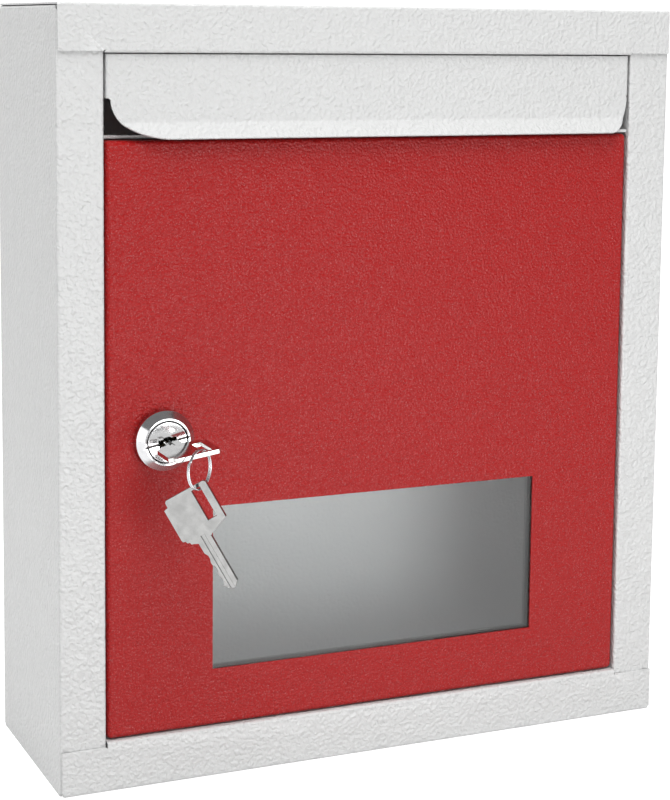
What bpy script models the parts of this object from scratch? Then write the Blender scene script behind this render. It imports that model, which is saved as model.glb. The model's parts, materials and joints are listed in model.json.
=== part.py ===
"""Sheet-steel suggestion box for a wall or a counter, in metres, +Z up.

The origin is the middle of the base's underside, the front faces -Y and +X is on the viewer's right.
Every bent panel is an open middle surface, folded edge by edge, that a Solidify modifier thickens.
"""

import math

import bmesh
import bpy
from mathutils import Matrix, Vector

# Case
case_width = 0.267
case_depth = 0.088
case_height = 0.305
sheet = 0.0008
bend_radius = 0.0011
fit_gap = 0.0003
edge_setback = 0.0004
corner_relief = 0.0005
weld_flange = 0.012
bend_steps = 5
cut_overrun = 0.003

# Frame round the opening
flange_width = 0.0184
return_depth = 0.015
lip_height = 0.018
top_fold_drop = 0.0005
base_fold_rise = 0.0018
lip_fold_depth = 0.012

# Holes for the wall screws
wall_hole_radius = 0.0042
wall_hole_inset_x = 0.035
wall_hole_drop = 0.032
wall_hole_rise = 0.098
wall_slot_radius = 0.0023
wall_slot_rise = 0.009

# Cross rail between the letter slot and the door
rail_sheet = 0.0012
rail_bend_radius = 0.002
rail_tab_height = 0.0045
rail_tab_length = 0.003
rail_lug_length = 0.022
rail_stop_height = 0.012
hinge_side_room = 0.016

# Door
door_recess = 0.0009
door_side_gap = 0.0007
door_top_gap = 0.0006
door_bottom_gap = 0.0004
slot_height = 0.0331
door_edge_depth = 0.01
door_bend_radius = 0.0019
hinge_inset = 0.0055
hinge_depth = 0.0038
hinge_pin_radius = 0.00125
hinge_hole_clearance = 0.00015
hinge_head_radius = 0.0024
hinge_head_height = 0.0008
hinge_pin_end = 0.0016
clip_radius = 0.003
clip_height = 0.0006
clip_clearance = 0.0001

# Window
window_width = 0.1437
window_height = 0.066
window_sill = 0.023
window_shift = 0.001
pane_thickness = 0.002
pane_side_cover = 0.009
pane_edge_cover = 0.006
pane_rail_land = 0.007
pane_rail_lip = 0.0045
pane_rail_radius = 0.001

# Flap
flap_back_step = 0.0004
flap_top_gap = 0.0005
flap_side_gap = 0.0008
flap_over_door = 0.0003
flap_left_inset = 0.0019
flap_right_inset = 0.0005
flap_ear_height = 0.0166
flap_ear_depth = 0.0085
flap_ear_relief = 0.0006
flap_band = 0.0082
flap_band_angle = math.radians(35)
flap_band_radius = 0.0022
flap_left_corner = 0.0245
flap_right_corner = 0.0095
flap_corner_height = 0.0164
flap_corner_steps = 14
flap_pivot_drop = 0.0138
flap_pivot_depth = 0.0034
flap_rivet_radius = 0.0011
flap_rivet_clearance = 0.00015
flap_rivet_head_radius = 0.0018
flap_rivet_head_height = 0.001
flap_rivet_tail_radius = 0.0018
flap_rivet_tail_height = 0.0008

# Cam lock
lock_from_door_edge = 0.0226
lock_rise = 0.1177
lock_tilt = math.radians(10.5)
bezel_radius = 0.0118
bezel_rim_height = 0.0039
bezel_rim_round = 0.0004
bezel_face_radius = 0.0092
bezel_height = 0.0065
bezel_mark_width = 0.0007
bezel_mark_depth = 0.0005
barrel_radius = 0.0093
barrel_flat = 0.0082
barrel_length = 0.0145
barrel_hole_clearance = 0.0002
nut_across_flats = 0.023
nut_height = 0.0035
nut_clearance = 0.0002
plug_radius = 0.0075
plug_head_radius = 0.0081
plug_head_length = 0.0022
plug_clearance = 0.00015
plug_face_round = 0.0004
keyway_width = 0.0074
keyway_thickness = 0.0029
keyway_depth = 0.0185
face_groove_thickness = 0.0009
face_groove_depth = 0.0009
key_eye_radius = 0.0022
key_eye_depth = 0.0018
tail_side = 0.006
tail_length = 0.0026
cam_thickness = 0.0016
cam_length = 0.033
cam_width = 0.0145
cam_tip_width = 0.011
cam_hole_clearance = 0.0002
cam_gap = 0.0002
washer_radius = 0.0048
washer_height = 0.0006
screw_radius = 0.0015
screw_length = 0.0055
screw_head_radius = 0.0034
screw_head_height = 0.0018
screw_slot_width = 0.0008
screw_slot_depth = 0.0008
screw_hole_clearance = 0.0002
wafer_count = 5
wafer_thickness = 0.0009
wafer_slot = 0.0013
wafer_pitch = 0.0024
wafer_first = 0.0022
wafer_width = 0.0068
wafer_clearance = 0.0002

# Keys
key_thickness = 0.0018
key_length = 0.0412
key_standout = 0.026
key_tilt = math.radians(8.5)
key_droop = math.radians(1.2)
bow_right = 0.0121
bow_left = 0.0078
bow_length = 0.016
bow_step = 0.0018
bow_step_drop = 0.0027
bow_corner = 0.0008
bow_wave_count = 3
bow_wave_depth = 0.0005
shoulder_length = 0.0034
blade_left = 0.0025
blade_right = 0.0035
blade_tip_half = 0.0012
blade_tip_length = 0.0022
key_bar = 0.0015
key_slot_left = 0.0054
key_slot_right = 0.0091
key_slot_length = 0.0125
groove_width = 0.0016
groove_depth = 0.0004
groove_offset = 0.0006
cut_depth_shares = (0.0, 0.55, 0.25, 0.8, 0.45, 0.7)
cut_start = 0.0232
cut_pitch = 0.0026
cut_flat_share = 0.45
cut_deepest = 0.0016

# Split ring
ring_radius = 0.0075
ring_wire = 0.0005
ring_turn = math.radians(37.5)
ring_gap = 0.0004
ring_over_key = 0.0007
ring_overlap = math.radians(52)
ring_end_angle = math.radians(172)
ring_lift = 0.0012
ring_steps = 44
ring_from_slot = 0.0018

# Spare key
spare_turn = math.radians(33)
spare_lean = math.radians(31)
spare_from_side = 0.0009

# Planes and edges that several pieces share
mid = sheet / 2
mid_radius = bend_radius - mid
cover_step = sheet + fit_gap
half_width = case_width / 2
front_y = -case_depth / 2
back_y = case_depth / 2
side_top = case_height - cover_step
rear_flange_y = back_y - cover_step
cover_half = half_width - edge_setback
opening_half = half_width - flange_width
fold_half = opening_half - fit_gap
lip_face_y = front_y - cover_step
top_fold_z = case_height - lip_height - top_fold_drop
bottom_fold_z = lip_height + base_fold_rise

door_half = opening_half - door_side_gap
door_face_y = front_y + door_recess
door_back_y = door_face_y + sheet
door_bottom_z = bottom_fold_z + door_bottom_gap
door_top_z = top_fold_z - slot_height
hinge_x = door_half - hinge_inset
hinge_y = door_face_y + hinge_depth
rail_under_z = door_top_z + door_top_gap
rail_top_z = rail_under_z + rail_sheet

flap_face_y = front_y + flap_back_step
flap_top_z = top_fold_z - flap_top_gap
flap_band_bend = flap_band_radius * flap_band_angle
flap_band_run = flap_band - flap_band_bend
flap_band_drop = flap_band_run * math.cos(flap_band_angle)
flap_band_drop += (flap_band_radius + mid) * math.sin(flap_band_angle)
flap_bend_drop = flap_top_z - door_top_z - flap_over_door - flap_band_drop
flap_half = opening_half - flap_side_gap
flap_pivot_y = flap_face_y + flap_pivot_depth
flap_pivot_z = flap_top_z - flap_pivot_drop
rail_front_y = flap_face_y + sheet + fit_gap

lock_x = lock_from_door_edge - door_half
lock_z = door_bottom_z + lock_rise
plug_face = bezel_height
cam_front = -barrel_length - cam_gap

parts = bpy.data.collections.new("suggestion_box")
cutters = bpy.data.collections.new("cutters")


def clear_scene():
    for old in list(bpy.data.objects):
        bpy.data.objects.remove(old, do_unlink=True)
    bpy.context.scene.collection.children.link(parts)
    bpy.context.scene.collection.children.link(cutters)


def material(name, colour, roughness, metallic, transmission=0.0):
    made = bpy.data.materials.new(name)
    made.use_nodes = True
    shader = made.node_tree.nodes["Principled BSDF"]
    shader.inputs["Base Color"].default_value = (*colour, 1)
    shader.inputs["Roughness"].default_value = roughness
    shader.inputs["Metallic"].default_value = metallic
    shader.inputs["Transmission Weight"].default_value = transmission
    return made


def put(name, mesh, finish, collection=parts):
    """A new object in the world frame that shows this mesh."""
    made = bpy.data.objects.new(name, mesh)
    collection.objects.link(made)
    if finish:
        mesh.materials.append(finish)
    return made


def mesh_of(bm, name):
    bmesh.ops.recalc_face_normals(bm, faces=bm.faces)
    mesh = bpy.data.meshes.new(name)
    bm.to_mesh(mesh)
    bm.free()
    return mesh


def round_shaded(piece, angle=math.radians(35)):
    piece.data.shade_smooth()
    piece.data.set_sharp_from_angle(angle=angle)
    return piece


def as_cutter(piece):
    for collection in list(piece.users_collection):
        collection.objects.unlink(piece)
    cutters.objects.link(piece)
    piece.hide_render = True
    piece.display_type = "WIRE"
    return piece


def cut(piece, cutter, operation="DIFFERENCE"):
    modifier = piece.modifiers.new(cutter.name, "BOOLEAN")
    modifier.operation = operation
    modifier.object = as_cutter(cutter)


def block(name, low, high, finish=None):
    """A box between two corners, in the frame that its object is given."""
    bm = bmesh.new()
    bmesh.ops.create_cube(bm, size=1)
    low, high = Vector(low), Vector(high)
    bmesh.ops.scale(bm, vec=high - low, verts=bm.verts)
    bmesh.ops.translate(bm, vec=(low + high) / 2, verts=bm.verts)
    return put(name, mesh_of(bm, name), finish)


def rod(name, radius, low, high, finish=None, segments=32):
    """A cylinder along its own Z, between two heights."""
    bm = bmesh.new()
    bmesh.ops.create_cone(
        bm, cap_ends=True, segments=segments, radius1=radius, radius2=radius, depth=high - low
    )
    bmesh.ops.translate(bm, vec=(0, 0, (low + high) / 2), verts=bm.verts)
    return round_shaded(put(name, mesh_of(bm, name), finish))


def turned(name, profile, finish, steps=48):
    """A body of revolution about its own Z: the profile's radii and heights run down its outer side."""
    mesh = bpy.data.meshes.new(name)
    points = [(radius, 0, height) for radius, height in profile]
    count = len(points)
    closed = all(radius > 0 for radius, height in profile)
    edges = [(i, i + 1) for i in range(count - 1)] + ([(count - 1, 0)] if closed else [])
    mesh.from_pydata(points, edges, [])
    made = put(name, mesh, finish)
    screw = made.modifiers.new("turn", "SCREW")
    screw.axis = "Z"
    screw.steps = steps
    screw.render_steps = steps
    screw.use_merge_vertices = True
    screw.merge_threshold = 1e-6
    screw.use_smooth_shade = False
    return made


def prism(name, outlines, thickness, finish, centred=True):
    """A flat outline, with any holes, raised to a thickness along its own Z and made a mesh."""
    curve = bpy.data.curves.new(name, "CURVE")
    curve.dimensions = "2D"
    curve.fill_mode = "BOTH"
    curve.extrude = thickness / 2
    for outline in outlines:
        spline = curve.splines.new("POLY")
        spline.points.add(len(outline) - 1)
        for point, (x, y) in zip(spline.points, outline):
            point.co = (x, y, 0, 1)
        spline.use_cyclic_u = True
    guide = bpy.data.objects.new(name + "_guide", curve)
    parts.objects.link(guide)
    graph = bpy.context.evaluated_depsgraph_get()
    mesh = bpy.data.meshes.new_from_object(guide.evaluated_get(graph))
    bpy.data.objects.remove(guide, do_unlink=True)
    bm = bmesh.new()
    bm.from_mesh(mesh)
    bmesh.ops.remove_doubles(bm, verts=bm.verts, dist=1e-6)
    if not centred:
        bmesh.ops.translate(bm, vec=(0, 0, thickness / 2), verts=bm.verts)
    bpy.data.meshes.remove(mesh)
    return put(name, mesh_of(bm, name), finish)


def arc(radius, start, sweep, steps):
    """Points round an arc about zero, both ends included."""
    angles = [start + sweep * i / steps for i in range(steps + 1)]
    return [(radius * math.cos(a), radius * math.sin(a)) for a in angles]


# Bent sheet


def flat(bm, points):
    """A flat stretch of the middle surface, from its corners in order. A vertex among them is shared."""
    verts = [p if isinstance(p, bmesh.types.BMVert) else bm.verts.new(p) for p in points]
    bm.faces.new(verts)
    return verts


def fold(bm, edge, outward, toward, radius, length, angle=math.pi / 2):
    """Bends the sheet on from one edge and runs it straight for a length. It gives back the new end edge."""
    outward, toward = Vector(outward), Vector(toward)
    last = list(edge)
    start = [v.co.copy() for v in edge]
    for step in range(1, bend_steps + 1):
        part = angle * step / bend_steps
        move = outward * (radius * math.sin(part)) + toward * (radius * (1 - math.cos(part)))
        new = [bm.verts.new(p + move) for p in start]
        bm.faces.new((last[0], last[1], new[1], new[0]))
        last = new
    if length:
        run = (outward * math.cos(angle) + toward * math.sin(angle)) * length
        new = [bm.verts.new(v.co + run) for v in last]
        bm.faces.new((last[0], last[1], new[1], new[0]))
        last = new
    return last


def thickened(name, bm, finish, thickness=sheet):
    """The middle surface given its thickness, half to each side."""
    piece = put(name, mesh_of(bm, name), finish)
    round_shaded(piece)
    solidify = piece.modifiers.new("sheet", "SOLIDIFY")
    solidify.thickness = thickness
    solidify.offset = 0
    solidify.use_even_offset = True
    return piece


def flap_pivot_frame(x, turn=1):
    """A frame on the flap's pivot whose Z runs along X, or against it where turn is -1."""
    return Matrix.Translation((x, flap_pivot_y, flap_pivot_z)) @ Matrix.Rotation(turn * math.pi / 2, 4, "Y")


# Case


def side_panel(name, side, finish):
    """One side wall with its front flange and return, rear flange and top flange. side is -1 or 1."""
    x = side * (half_width - mid)
    front, rear = front_y + bend_radius, rear_flange_y - bend_radius
    top = side_top - bend_radius
    flange_top = top - corner_relief
    flange_foot = cover_step
    under_cover = rear_flange_y - 2 * cover_step
    inward = (-side, 0, 0)
    bm = bmesh.new()
    corners = flat(
        bm,
        [
            (x, front + corner_relief, 0),
            (x, rear - corner_relief, 0),
            (x, rear, flange_foot),
            (x, rear, flange_top),
            (x, under_cover, top),
            (x, front + corner_relief, top),
            (x, front, flange_top),
            (x, front, flange_foot),
        ],
    )
    run = flange_width - 2 * bend_radius
    edge = fold(bm, (corners[6], corners[7]), (0, -1, 0), inward, mid_radius, run)
    fold(bm, edge, inward, (0, 1, 0), mid_radius, return_depth - bend_radius)
    run = weld_flange - bend_radius
    fold(bm, (corners[2], corners[3]), (0, 1, 0), inward, mid_radius, run)
    fold(bm, (corners[4], corners[5]), (0, 0, 1), inward, mid_radius, run)
    panel = thickened(name, bm, finish)
    hole = rod(name + "_rivet_hole", flap_rivet_radius + flap_rivet_clearance, -cut_overrun, cut_overrun)
    hole.matrix_world = flap_pivot_frame(side * opening_half)
    cut(panel, hole)
    return panel


def lip(bm, edge, up):
    """The front lip on a cover's bent edge. up is 1 on the base, -1 on the top, and the edge runs to +X."""
    base = 0 if up > 0 else case_height
    y = lip_face_y + mid
    end_z = base + up * lip_height
    notch_z = end_z - up * corner_relief
    fold_z = (bottom_fold_z if up > 0 else top_fold_z) - up * bend_radius
    bend_z = edge[0].co.z
    notch = fold_half + corner_relief
    outer = [] if abs(edge[1].co.x) > cover_half - mid else [(cover_half, y, bend_z)]
    right = [*outer, (cover_half, y, end_z), (notch, y, end_z), (notch, y, notch_z)]
    right += [(fold_half, y, notch_z), (fold_half, y, fold_z)]
    left = [(-px, py, pz) for px, py, pz in reversed(right)]
    verts = flat(bm, [edge[0], edge[1], *right, *left])
    count = len(right)
    ends = (verts[1 + count], verts[2 + count])
    fold(bm, ends, (0, 0, up), (0, 1, 0), mid_radius, lip_fold_depth - bend_radius)


def top_panel(finish):
    """The cover: front lip, and a rear flange that hangs inside the back."""
    z = case_height - mid
    front = lip_face_y + bend_radius
    rear = rear_flange_y - cover_step - bend_radius
    inner = half_width - cover_step - fit_gap
    bm = bmesh.new()
    corners = flat(
        bm,
        [
            (-cover_half, front, z),
            (cover_half, front, z),
            (cover_half, rear, z),
            (inner, rear, z),
            (-inner, rear, z),
            (-cover_half, rear, z),
        ],
    )
    edge = fold(bm, (corners[0], corners[1]), (0, -1, 0), (0, 0, -1), mid_radius, 0)
    lip(bm, edge, -1)
    fold(bm, (corners[3], corners[4]), (0, 1, 0), (0, 0, -1), mid_radius, weld_flange - bend_radius)
    return thickened("top_panel", bm, finish)


def bottom_panel(finish):
    """The base: a tray between the sides with flanges up inside them and inside the back, and a front lip."""
    z = mid
    half = half_width - cover_step
    front = lip_face_y + bend_radius
    flange_front = front_y + bend_radius + cover_step
    rear = rear_flange_y - cover_step - bend_radius
    side = half - bend_radius
    bm = bmesh.new()
    corners = flat(
        bm,
        [
            (-half, front, z),
            (half, front, z),
            (half, flange_front, z),
            (side, flange_front + corner_relief, z),
            (side, rear - corner_relief, z),
            (side - corner_relief, rear, z),
            (corner_relief - side, rear, z),
            (-side, rear - corner_relief, z),
            (-side, flange_front + corner_relief, z),
            (-half, flange_front, z),
        ],
    )
    run = weld_flange - bend_radius
    up = (0, 0, 1)
    edge = fold(bm, (corners[0], corners[1]), (0, -1, 0), up, mid_radius, 0)
    lip(bm, edge, 1)
    fold(bm, (corners[3], corners[4]), (1, 0, 0), up, mid_radius, run)
    fold(bm, (corners[5], corners[6]), (0, 1, 0), up, mid_radius, run)
    fold(bm, (corners[7], corners[8]), (-1, 0, 0), up, mid_radius, run)
    panel = thickened("bottom_panel", bm, finish)
    hole = rod("lower_pin_hole", hinge_pin_radius + hinge_hole_clearance, -cut_overrun, cut_overrun)
    hole.location = (hinge_x, hinge_y, bottom_fold_z)
    cut(panel, hole)
    return panel


def back_panel(finish):
    """The flat back, with two keyholes and two plain holes for the wall screws."""
    panel = block(
        "back_panel",
        (-cover_half, back_y - sheet, edge_setback),
        (cover_half, back_y, case_height - cover_step - edge_setback),
        finish,
    )
    low, high = back_y - sheet - cut_overrun, back_y + cut_overrun
    for side in (-1, 1):
        x = side * (half_width - wall_hole_inset_x)
        for z, rise in ((case_height - wall_hole_drop, wall_slot_rise), (wall_hole_rise, 0)):
            hole = rod("wall_hole", wall_hole_radius, low, high)
            hole.matrix_world = Matrix.Translation((x, 0, z)) @ Matrix.Rotation(-math.pi / 2, 4, "X")
            cut(panel, hole)
            if not rise:
                continue
            slot = block("wall_slot", (x - wall_slot_radius, low, z), (x + wall_slot_radius, high, z + rise))
            cut(panel, slot)
            end = rod("wall_slot_end", wall_slot_radius, low, high, segments=24)
            end.matrix_world = Matrix.Translation((x, 0, z + rise)) @ Matrix.Rotation(-math.pi / 2, 4, "X")
            cut(panel, end)
    return panel


def cross_rail(finish):
    """The shelf over the door: a lug that holds the hinge pin, a stop flange and a welded tab at each end."""
    half = rail_sheet / 2
    radius = rail_bend_radius - half
    z = rail_top_z - half
    rear = door_face_y + door_edge_depth + fit_gap + rail_sheet - rail_bend_radius
    tab_rear = rear - corner_relief
    tab_front = tab_rear - rail_tab_length
    tab_x = fold_half - rail_bend_radius
    stop_x = fold_half - hinge_side_room
    shelf_front = tab_front - corner_relief
    lug_x = fold_half - rail_lug_length
    bm = bmesh.new()
    corners = flat(
        bm,
        [
            (lug_x, rail_front_y, z),
            (fold_half, rail_front_y, z),
            (fold_half, shelf_front, z),
            (tab_x, tab_front, z),
            (tab_x, tab_rear, z),
            (stop_x, rear, z),
            (-tab_x, rear, z),
            (-tab_x, tab_rear, z),
            (-tab_x, tab_front, z),
            (-fold_half, shelf_front, z),
            (lug_x, shelf_front, z),
        ],
    )
    rise = rail_tab_height - rail_bend_radius
    fold(bm, (corners[3], corners[4]), (1, 0, 0), (0, 0, 1), radius, rise)
    fold(bm, (corners[7], corners[8]), (-1, 0, 0), (0, 0, 1), radius, rise)
    drop = rail_stop_height - rail_bend_radius
    fold(bm, (corners[5], corners[6]), (0, 1, 0), (0, 0, -1), radius, drop)
    rail = thickened("cross_rail", bm, finish, rail_sheet)
    hole = rod("upper_pin_hole", hinge_pin_radius + hinge_hole_clearance, -cut_overrun, cut_overrun)
    hole.location = (hinge_x, hinge_y, rail_top_z)
    cut(rail, hole)
    return rail


# Door


def barrel_shape(name, radius, flat_half, low, high):
    """A round bar with two flats, along its own Z, for the lock's barrel and its hole."""
    limit = math.acos(flat_half / radius)
    sweep = math.pi - 2 * limit
    outline = arc(radius, limit, sweep, 20) + arc(radius, math.pi + limit, sweep, 20)
    shape = prism(name, [outline], high - low, None, centred=False)
    shape.data.transform(Matrix.Translation((0, 0, low)))
    return shape


def pan(bm, x, low, high, y, radius, depth):
    """A flat face from -x to x, whose edges and corners bend back on one radius and run on to a depth."""
    quarter = math.pi / 2
    centres = ((x, high), (-x, high), (-x, low), (x, low))
    count = bend_steps + 1
    last = []
    for px, pz in centres:
        last += [bm.verts.new((px, y, pz))] * count
    bm.faces.new(last[::count])
    angles = [quarter * step / bend_steps for step in range(1, count)]
    loops = [(radius * math.sin(a), radius * (1 - math.cos(a))) for a in angles]
    for out, back in [*loops, (radius, depth)]:
        new = []
        for number, (px, pz) in enumerate(centres):
            for ax, az in arc(out, number * quarter, quarter, bend_steps):
                new.append(bm.verts.new((px + ax, y + back, pz + az)))
        for here, there, beyond, behind in zip(last, last[1:] + last[:1], new[1:] + new[:1], new):
            bm.faces.new(list(dict.fromkeys((here, there, beyond, behind))))
        last = new


def door_panel(finish, at_lock):
    """The door pan: closed edges bent back, a window, the lock's hole and two hinge holes."""
    radius = door_bend_radius
    low, high = door_bottom_z + radius, door_top_z - radius
    bm = bmesh.new()
    pan(bm, door_half - radius, low, high, door_face_y + mid, radius - mid, door_edge_depth - mid)
    door = thickened("door_panel", bm, finish)
    sill = door_bottom_z + window_sill
    window = block(
        "window_cut",
        (window_shift - window_width / 2, door_face_y - cut_overrun, sill),
        (window_shift + window_width / 2, door_back_y + cut_overrun, sill + window_height),
    )
    cut(door, window)
    hole = barrel_shape(
        "lock_hole",
        barrel_radius + barrel_hole_clearance,
        barrel_flat + barrel_hole_clearance,
        -cut_overrun - sheet,
        cut_overrun,
    )
    hole.matrix_world = at_lock
    cut(door, hole)
    for z in (door_bottom_z, door_top_z):
        pin = rod("door_pin_hole", hinge_pin_radius + hinge_hole_clearance, -cut_overrun, cut_overrun)
        pin.location = (hinge_x, hinge_y, z)
        cut(door, pin)
    return door


def hinge_pin(name, up, finish):
    """A headed pin through the door's bent edge and the case. up is 1 at the top and -1 at the bottom."""
    edge_z = door_top_z if up > 0 else door_bottom_z
    case_z = rail_top_z if up > 0 else bottom_fold_z - sheet
    head = -sheet - fit_gap
    reach = up * (case_z - edge_z) + hinge_pin_end + clip_height
    profile = [
        (0, reach),
        (hinge_pin_radius, reach),
        (hinge_pin_radius, head),
        (hinge_head_radius, head),
        (hinge_head_radius, head - hinge_head_height),
        (0, head - hinge_head_height),
    ]
    pin = turned(name, profile, finish, steps=24)
    pin.location = (hinge_x, hinge_y, edge_z)
    if up < 0:
        pin.rotation_euler = (math.pi, 0, 0)
    return pin


def hinge_clip(name, up, finish):
    """The push-on ring that keeps a hinge pin in the case."""
    case_z = rail_top_z if up > 0 else bottom_fold_z - sheet
    inner = hinge_pin_radius + clip_clearance
    profile = [
        (clip_radius, fit_gap + clip_height),
        (clip_radius, fit_gap),
        (inner, fit_gap),
        (inner, fit_gap + clip_height),
    ]
    clip = turned(name, profile, finish, steps=24)
    clip.location = (hinge_x, hinge_y, case_z)
    if up < 0:
        clip.rotation_euler = (math.pi, 0, 0)
    return clip


def window_pane(finish):
    """The clear sheet behind the door's window."""
    sill = door_bottom_z + window_sill
    half = window_width / 2 + pane_side_cover
    front = door_back_y + fit_gap
    return block(
        "window_pane",
        (window_shift - half, front, sill - pane_edge_cover),
        (window_shift + half, front + pane_thickness, sill + window_height + pane_edge_cover),
        finish,
    )


def pane_rail(name, up, finish):
    """A stepped strip welded in the door that holds a long edge of the pane. up is 1 over the window."""
    sill = door_bottom_z + window_sill
    edge_z = sill + window_height + pane_edge_cover if up > 0 else sill - pane_edge_cover
    half = window_width / 2 + pane_side_cover
    y = door_back_y + fit_gap + mid
    radius = pane_rail_radius - mid
    step = pane_thickness + fit_gap + sheet - 2 * radius
    leg_z = edge_z + up * (fit_gap + mid)
    land_z = leg_z + up * radius
    bm = bmesh.new()
    outer = land_z + up * pane_rail_land
    left, right = window_shift - half, window_shift + half
    corners = flat(bm, [(left, y, outer), (right, y, outer), (right, y, land_z), (left, y, land_z)])
    edge = fold(bm, (corners[2], corners[3]), (0, 0, -up), (0, 1, 0), radius, step)
    fold(bm, edge, (0, 1, 0), (0, 0, -up), radius, pane_rail_lip)
    return thickened(name, bm, finish)


# Flap


def flap_row(s):
    """Where a point that lies s below the flap's top edge, along the sheet, stands in Y and Z."""
    y = flap_face_y + mid
    radius = flap_band_radius
    if s <= flap_bend_drop:
        return y, flap_top_z - s
    if s <= flap_bend_drop + flap_band_bend:
        angle = (s - flap_bend_drop) / radius
        return y - radius * (1 - math.cos(angle)), flap_top_z - flap_bend_drop - radius * math.sin(angle)
    run = s - flap_bend_drop - flap_band_bend
    y -= radius * (1 - math.cos(flap_band_angle)) + run * math.sin(flap_band_angle)
    z = flap_top_z - flap_bend_drop - radius * math.sin(flap_band_angle) - run * math.cos(flap_band_angle)
    return y, z


def flap(finish):
    """The flap over the letter slot: a bent ear at each side, and a lower band turned out for the fingers."""
    ear_x = flap_half - bend_radius
    length = flap_bend_drop + flap_band
    centre_s = length - flap_corner_height
    sides = (
        (-1, flap_half - flap_left_inset, flap_left_corner),
        (1, flap_half - flap_right_inset, flap_right_corner),
    )
    stations = [flap_bend_drop + flap_band_bend * i / bend_steps for i in range(bend_steps + 1)]
    quarter = math.pi / 2
    stations += [
        centre_s + flap_corner_height * math.sin(quarter * i / flap_corner_steps)
        for i in range(flap_corner_steps + 1)
    ]
    rows = [(0, -ear_x, ear_x), (flap_ear_height, -ear_x, ear_x)]
    rows.append((flap_ear_height + flap_ear_relief, *[side * plate for side, plate, corner in sides]))
    for s in sorted(stations):
        if s < rows[-1][0] + flap_ear_relief / 2:
            continue
        rise_share = max(s - centre_s, 0) / flap_corner_height
        inward_share = 1 - math.sqrt(max(1 - rise_share**2, 0))
        rows.append((s, *[side * (plate - corner * inward_share) for side, plate, corner in sides]))
    bm = bmesh.new()
    last = None
    ears = {}
    for number, (s, left_x, right_x) in enumerate(rows):
        y, z = flap_row(s)
        pair = (bm.verts.new((left_x, y, z)), bm.verts.new((right_x, y, z)))
        ears[number] = pair
        if last:
            bm.faces.new((last[0], last[1], pair[1], pair[0]))
        last = pair
    for side, end in ((-1, 0), (1, 1)):
        edge = (ears[0][end], ears[1][end])
        fold(bm, edge, (side, 0, 0), (0, 1, 0), mid_radius, flap_ear_depth - bend_radius)
    made = thickened("flap", bm, finish)
    for side in (-1, 1):
        hole = rod("flap_rivet_hole", flap_rivet_radius + flap_rivet_clearance, -cut_overrun, cut_overrun)
        hole.matrix_world = flap_pivot_frame(side * flap_half)
        cut(made, hole)
    return made


def flap_rivet(name, side, finish):
    """The rivet on which one ear turns: head inside the ear, tail behind the case's return."""
    head = -sheet - fit_gap
    far = opening_half - flap_half + sheet + fit_gap
    profile = [
        (0, far + flap_rivet_tail_height),
        (flap_rivet_tail_radius, far + flap_rivet_tail_height),
        (flap_rivet_tail_radius, far),
        (flap_rivet_radius, far),
        (flap_rivet_radius, head),
        (flap_rivet_head_radius, head),
        (flap_rivet_head_radius, head - flap_rivet_head_height),
        (0, head - flap_rivet_head_height),
    ]
    rivet = turned(name, profile, finish, steps=20)
    rivet.matrix_world = flap_pivot_frame(side * flap_half, side)
    return rivet


# Lock: each piece is made with Z along the spindle, outward, and zero at the door's front face


def lock_frame(tilt):
    """The lock's own frame in the world: X along the keyway, Z out of the door."""
    place = Matrix.Translation((lock_x, door_face_y, lock_z))
    return place @ Matrix.Rotation(math.pi / 2, 4, "X") @ Matrix.Rotation(tilt, 4, "Z")


def lock_housing(finish, at_lock):
    """Bezel and barrel in one turned body, bored for the plug."""
    bore = plug_radius + plug_clearance
    mouth = plug_head_radius + plug_clearance
    mouth_end = plug_face - plug_head_length - plug_clearance
    seat = fit_gap
    profile = [
        (bore, mouth_end),
        (mouth, mouth_end),
        (mouth, bezel_height),
        (bezel_face_radius, bezel_height),
        (bezel_radius - bezel_rim_round, bezel_rim_height),
        (bezel_radius, bezel_rim_height - bezel_rim_round),
        (bezel_radius, seat),
        (barrel_radius, seat),
        (barrel_radius, -barrel_length),
        (bore, -barrel_length),
    ]
    housing = turned("lock_housing", profile, finish, steps=64)
    housing.matrix_world = at_lock
    for side in (-1, 1):
        flat_cut = block(
            "barrel_flat_cut",
            (side * barrel_flat, -bezel_radius, -barrel_length - cut_overrun),
            (side * (bezel_radius + cut_overrun), bezel_radius, seat),
        )
        flat_cut.matrix_world = at_lock
        cut(housing, flat_cut)
    mark = block(
        "bezel_mark_cut",
        (-bezel_face_radius, -bezel_mark_width / 2, bezel_height - bezel_mark_depth),
        (bezel_face_radius, bezel_mark_width / 2, bezel_height + cut_overrun),
    )
    mark.matrix_world = lock_frame(lock_tilt)
    cut(housing, mark)
    return housing


def lock_nut(finish, at_lock):
    """The hexagon nut that clamps the housing from inside the door."""
    outer = arc(nut_across_flats / 2 / math.cos(math.pi / 6), 0, math.tau, 6)[1:]
    inner = arc(barrel_radius + nut_clearance, 0, math.tau, 40)[1:]
    nut = prism("lock_nut", [outer, inner], nut_height, finish, centred=False)
    nut.data.transform(Matrix.Translation((0, 0, -sheet - fit_gap - nut_height)))
    nut.matrix_world = at_lock
    return nut


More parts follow.
